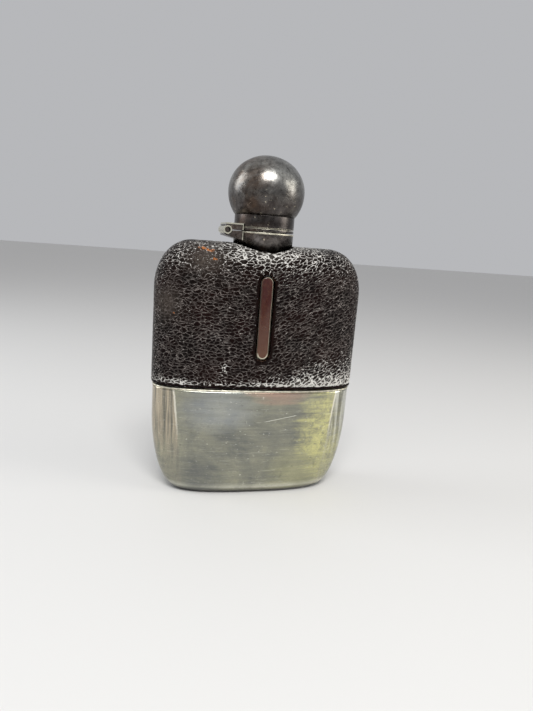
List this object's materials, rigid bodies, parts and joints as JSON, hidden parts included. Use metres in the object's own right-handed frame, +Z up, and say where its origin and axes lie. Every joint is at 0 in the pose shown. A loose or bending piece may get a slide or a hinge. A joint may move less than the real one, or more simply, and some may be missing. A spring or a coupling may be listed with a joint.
{
  "type": "hip flask",
  "caption": "Flat glass hip flask in a grained leather cover, with a pull-off drinking cup below and a hinged ball cap that locks by a quarter turn.",
  "frame": {"origin": "middle of the cup's flat base, where the flask stands", "axes": "+Z up along the flask's height to the ball cap, the broad window face looks along -Y, the cap's hinge is on the -X side"},
  "size_m": [0.09, 0.032, 0.1445],
  "materials": {
    "leather": "black-brown morocco grain, glossy on the ridges, worn pale along the edges",
    "cup_plate": "worn silver plate, warm mottled tarnish, fine scratches",
    "dark_plate": "tarnished silver plate, gunmetal with brown patches, bright on worn edges",
    "glass": "clear old glass with a faint green-grey cast",
    "cement": "matt plaster",
    "cork": "matt cork",
    "pin_metal": "dull brass"
  },
  "bodies": {
    "root": {"glass_bottle": "glass", "leather_front": "leather", "leather_back": "leather", "neck_cement": "cement", "neck_sleeve": "dark_plate", "bayonet_lug_front": "dark_plate", "bayonet_lug_back": "dark_plate", "neck_collar": "dark_plate", "hinge_lower_leaf": "dark_plate", "hinge_pin": "pin_metal"},
    "hinge_carrier": {"hinge_ring": "dark_plate", "hinge_upper_leaf": "dark_plate"},
    "cap": {"cap_skirt": "dark_plate", "cap_ball": "dark_plate", "cap_inner_plate": "cup_plate", "bayonet_ring": "dark_plate", "cork_cup": "cup_plate", "cork_pad": "cork"},
    "cup": {"cup_shell": "cup_plate", "cup_rim": "cup_plate"}
  },
  "joints": [
    {"name": "cap_flip", "type": "hinge", "parent": "root", "child": "hinge_carrier", "pos_m": [-0.0166, 0, 0.1134], "axis": [0, -1, 0], "range_deg": [0, 110]},
    {"name": "cap_twist", "type": "hinge", "parent": "hinge_carrier", "child": "cap", "pos_m": [0, 0, 0.12], "axis": [0, 0, 1], "range_deg": [-90, 0]},
    {"name": "cup_slide", "type": "slide", "parent": "root", "child": "cup", "axis": [0, 0, -1], "range_m": [0, 0.06]}
  ]
}
